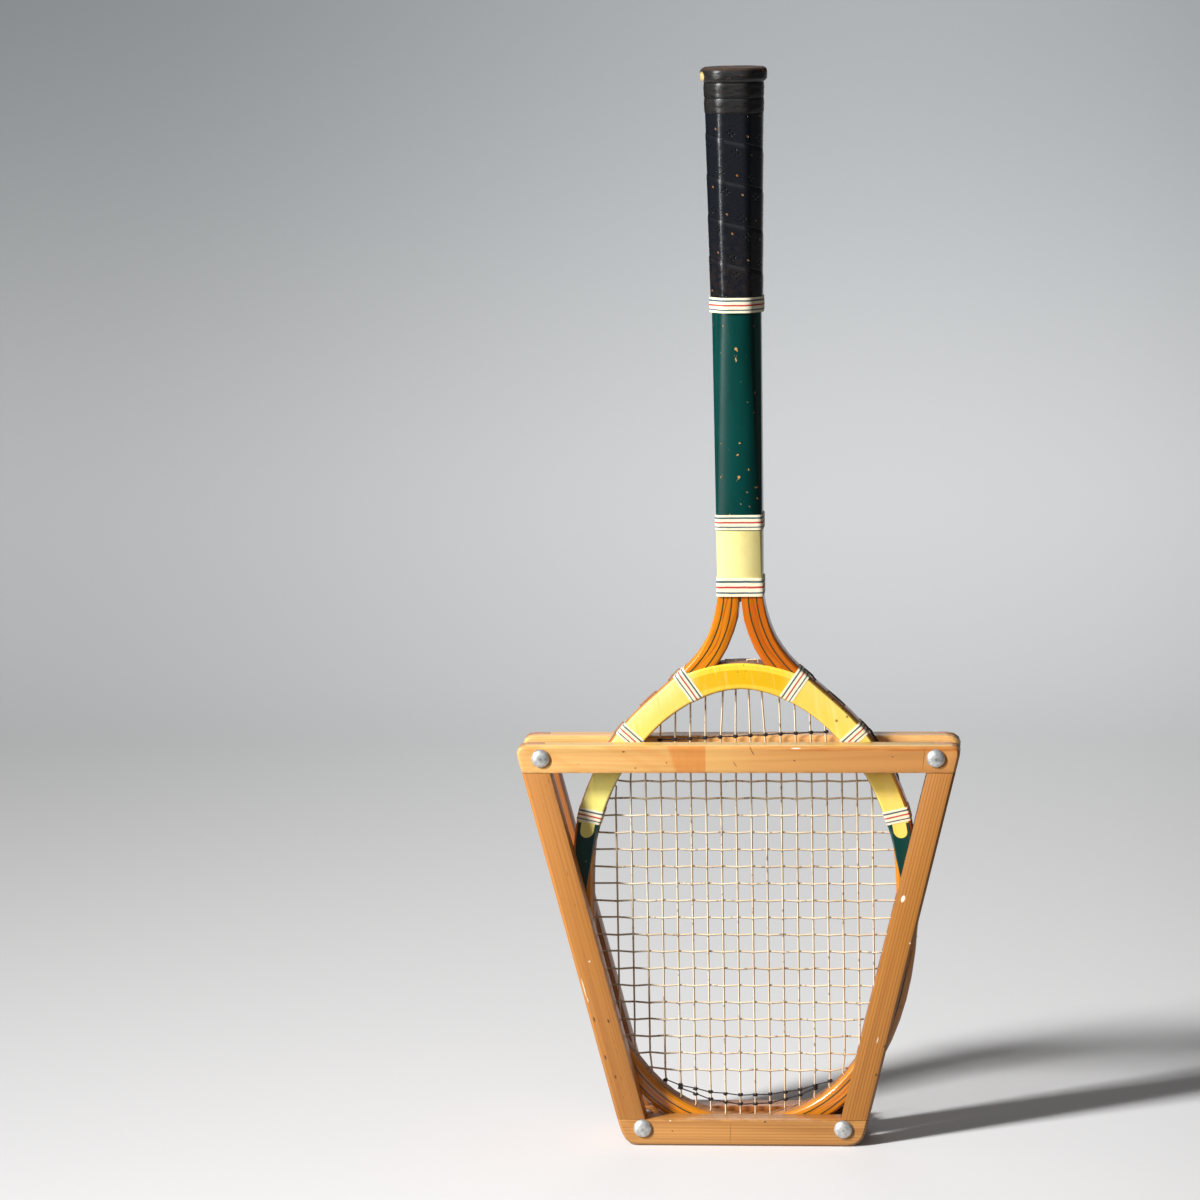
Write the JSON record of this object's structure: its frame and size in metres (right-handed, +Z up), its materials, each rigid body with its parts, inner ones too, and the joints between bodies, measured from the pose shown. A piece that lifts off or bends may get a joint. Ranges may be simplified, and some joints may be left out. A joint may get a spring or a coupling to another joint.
{
  "type": "wooden tennis racket",
  "caption": "Strung laminated wood tennis racket standing on its tip in a trapezoid wooden screw press with carriage bolts and wing nuts.",
  "frame": {"origin": "on the floor under the middle of the bounding box", "axes": "+X to the right as seen from the bolt heads' side, +Y away from that viewer and along the bolts to their nuts, +Z up along the racket to its butt"},
  "size_m": [0.2806, 0.0792, 0.6863],
  "materials": {
    "outer_ply": "varnished",
    "core_ply": "varnished",
    "inner_ply": "varnished",
    "bridge": "varnished",
    "wedge": "varnished",
    "cheek": "gloss lacquer",
    "grip": "worn, perforated",
    "butt_tape": "worn adhesive tape",
    "butt_cap": "worn",
    "ring_tape": "woven striped tape",
    "binding_tape": "woven striped tape",
    "gut": "twisted natural gut",
    "yarn": "thin yarn",
    "pale_rail": "thin varnish",
    "orange_rail": "thin varnish",
    "bolt": "zinc, dull",
    "washer": "zinc, dull",
    "wing_nut": "zinc, dull"
  },
  "bodies": {
    "press_front": {"front_rail_top": "pale_rail", "front_rail_bottom": "pale_rail", "front_rail_left": "orange_rail", "front_rail_right": "orange_rail", "bolt_top_left": "bolt", "bolt_top_right": "bolt", "bolt_bottom_left": "bolt", "bolt_bottom_right": "bolt"},
    "press_back": {"back_rail_top": "pale_rail", "back_rail_bottom": "orange_rail", "back_rail_left": "orange_rail", "back_rail_right": "orange_rail", "washer_top_left": "washer", "washer_top_right": "washer", "washer_bottom_left": "washer", "washer_bottom_right": "washer"},
    "racket": {"bow_outer_ply": "outer_ply", "bow_core_ply": "core_ply", "bow_inner_ply": "inner_ply", "throat_bridge": "bridge", "throat_wedge": "wedge", "handle_cheek_front": "cheek", "handle_cheek_back": "cheek", "leather_grip": "grip", "butt_tape_lower": "butt_tape", "butt_tape_upper": "butt_tape", "butt_cap": "butt_cap", "grip_ring": "ring_tape", "shaft_ring_upper": "ring_tape", "shaft_ring_lower": "ring_tape", "throat_binding_left": "binding_tape", "throat_binding_right": "binding_tape", "shoulder_binding_left": "binding_tape", "shoulder_binding_right": "binding_tape", "side_binding_left": "binding_tape", "side_binding_right": "binding_tape", "main_string": "gut", "cross_string": "gut", "throat_yarn": "yarn", "tip_yarn_upper": "yarn", "tip_yarn_lower": "yarn"},
    "nut_top_left": {"wing_nut_top_left": "wing_nut"},
    "nut_top_right": {"wing_nut_top_right": "wing_nut"},
    "nut_bottom_left": {"wing_nut_bottom_left": "wing_nut"},
    "nut_bottom_right": {"wing_nut_bottom_right": "wing_nut"}
  },
  "joints": [
    {"name": "back_frame_slide", "type": "slide", "parent": "press_front", "child": "press_back", "axis": [0, 1, 0], "range_m": [0, 0.01]},
    {"name": "racket_lift", "type": "slide", "parent": "press_front", "child": "racket", "axis": [0, 0, 1], "range_m": [0, 0.27]},
    {"name": "nut_top_left_turn", "type": "hinge", "parent": "press_back", "child": "nut_top_left", "pos_m": [-0.1252, 0.0215, 0.2522], "axis": [0, 1, 0], "range_deg": [0, 2835]},
    {"name": "nut_top_right_turn", "type": "hinge", "parent": "press_back", "child": "nut_top_right", "pos_m": [0.1252, 0.0215, 0.2522], "axis": [0, 1, 0], "range_deg": [0, 2835]},
    {"name": "nut_bottom_left_turn", "type": "hinge", "parent": "press_back", "child": "nut_bottom_left", "pos_m": [-0.0642, 0.0215, 0.0116], "axis": [0, 1, 0], "range_deg": [0, 2835]},
    {"name": "nut_bottom_right_turn", "type": "hinge", "parent": "press_back", "child": "nut_bottom_right", "pos_m": [0.0642, 0.0215, 0.0116], "axis": [0, 1, 0], "range_deg": [0, 2835]}
  ],
  "couplings": [
    {"joint": "nut_top_left_turn", "follows": "back_frame_slide", "rad_per_m": 4947.4},
    {"joint": "nut_top_right_turn", "follows": "back_frame_slide", "rad_per_m": 4947.4},
    {"joint": "nut_bottom_left_turn", "follows": "back_frame_slide", "rad_per_m": 4947.4},
    {"joint": "nut_bottom_right_turn", "follows": "back_frame_slide", "rad_per_m": 4947.4}
  ]
}
